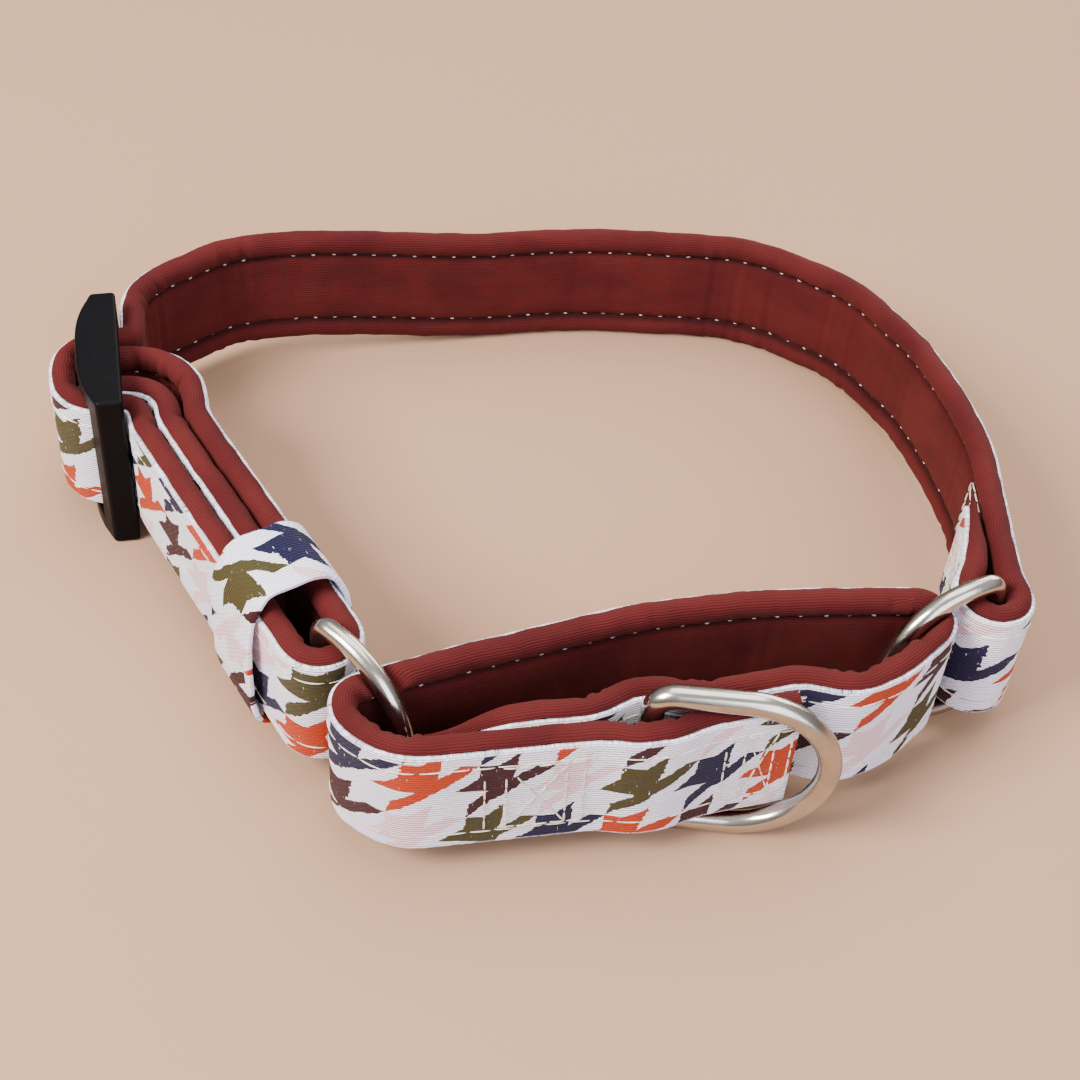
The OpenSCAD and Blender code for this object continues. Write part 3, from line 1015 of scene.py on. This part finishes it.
def strap_foot(x, y):
    """Height of the strap's lower edge: on the floor at the back, lifted at the hardware."""
    return FRONT_LIFT * (1 - ease((x - REST_X) / 50) * ease(y / 45))


def loop_foot(x, y):
    """The loop hangs level, at the height of the hardware."""
    return np.full_like(x, FRONT_LIFT)


def metres(spot, z=MIDDLE_Z):
    """A spot in millimetres as a point in metres, by default at the middle of the hardware."""
    return (spot[0] * MM, spot[1] * MM, z * MM)


def make_strap():
    """The one long strip in three legs, and its sewn boxes."""
    route = Route(STRAP_CORNERS, strap_foot)
    at_slider = route.nearest((RUN_X, SLIDER_AT[1] + LEG_OUTER), low=route.length * 0.3)
    at_back = route.nearest((REST_X, 73.5), low=at_slider)
    legs = {
        "run": (0, at_slider, ("slider", "main_strap"), metres(on_run(2, 0)), metres(on_run(40, 0))),
        "shoulder": (at_slider, at_back, ("slider", "main_strap"), metres((RUN_X, 50)), metres((-42, 73))),
        "back": (at_back, route.length, ("main_strap", "right_end"), metres((87, 58)), metres((87, -4))),
    }
    stands_for = {"run": ["adjuster"], "shoulder": ["adjuster"], "back": ["strap", "end"]}
    for k, (name, (low, high, bodies, start, end)) in enumerate(legs.items()):
        pieces = {
            "webbing": webbing_piece(name + "_webbing", route, low, high),
            "lining": lining_piece(name + "_lining", route, low, high),
            "seams": seam_threads(name + "_seams", route, low, high, 20 + 10 * k),
        }
        for layer, piece in pieces.items():
            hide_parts(*[part + "_" + layer for part in stands_for[name]])
            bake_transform(piece)
    middle = route.length * 0.35
    sewn = [route.nearest(on_run(along, 2 * PITCH), high=middle) for along in (28, 40)]
    box = box_threads("run_box_stitch", route, *sewn, HALF_T + 0.05, 71)
    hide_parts("adjuster_stitching")
    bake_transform(box)
    box_low = route.nearest((74.9, -36.7), low=route.length - 30)
    box = box_threads("end_box_stitch", route, box_low, route.length - 1.5, HALF_T + 0.05, 81)
    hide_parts("end_stitching")
    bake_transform(box)
    spot = route.nearest((86, -16), high=route.length - 40)
    corner = corner_threads("end_corner_stitch", route, spot, 86)
    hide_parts("end_stitching")
    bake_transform(corner)


def make_control_loop():
    """The strip through both side rings, pressed under their bows."""
    rings = (
        RingPlace(LEFT_BAR, LEFT_HEADING, SIDE_WIRE, SIDE_REACH),
        RingPlace(RIGHT_BAR, RIGHT_HEADING, SIDE_WIRE, SIDE_REACH),
    )
    route = Route(LOOP_CORNERS, loop_foot, rings, (16, 7))
    front = route.length * 0.3
    right_box = [route.nearest(spot, high=front) for spot in ((30.6, -67), (19.2, -67.8))]
    left_box = [route.nearest((x, -68), high=front) for x in (-5.5, -22)]
    pieces = {
        "webbing": webbing_piece("loop_tape", route, 0, route.length),
        "lining": lining_piece("loop_padding", route, 0, route.length),
        "seams": seam_threads("loop_thread", route, 0, route.length, 50),
        "stitching_left": box_threads("loop_box_left", route, *left_box, HALF_T + 0.05, 91),
        "stitching_right": box_threads("loop_box_right", route, *right_box, HALF_T + 0.05, 101),
    }
    for layer, piece in pieces.items():
        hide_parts("loop_" + layer)
        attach(piece, "control_loop")
        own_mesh(piece)


def make_hardware():
    """The three rings, the slider and the keeper."""
    steel = steel_material()
    sizes = {
        "left_ring": (LEFT_BAR, LEFT_HEADING, SIDE_WIRE, SIDE_REACH, SIDE_CORNER),
        "right_ring": (RIGHT_BAR, RIGHT_HEADING, SIDE_WIRE, SIDE_REACH, SIDE_CORNER),
        "leash_ring": (LEASH_BAR, LEASH_HEADING, LEASH_WIRE, LEASH_REACH, LEASH_CORNER),
    }
    for name, size in sizes.items():
        ring = ring_piece(name + "_wire", *size, steel)
        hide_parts(name)
        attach(ring, name)
    slider = slider_piece(plastic_material())
    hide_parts("slider")
    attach(slider, "slider")
    keeper = keeper_piece()
    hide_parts("keeper")
    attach(keeper, "keeper")


make_camera()
make_studio()
WEBBING = webbing_material()
LINING = lining_material()
THREAD = thread_material()
make_strap()
make_control_loop()
make_hardware()
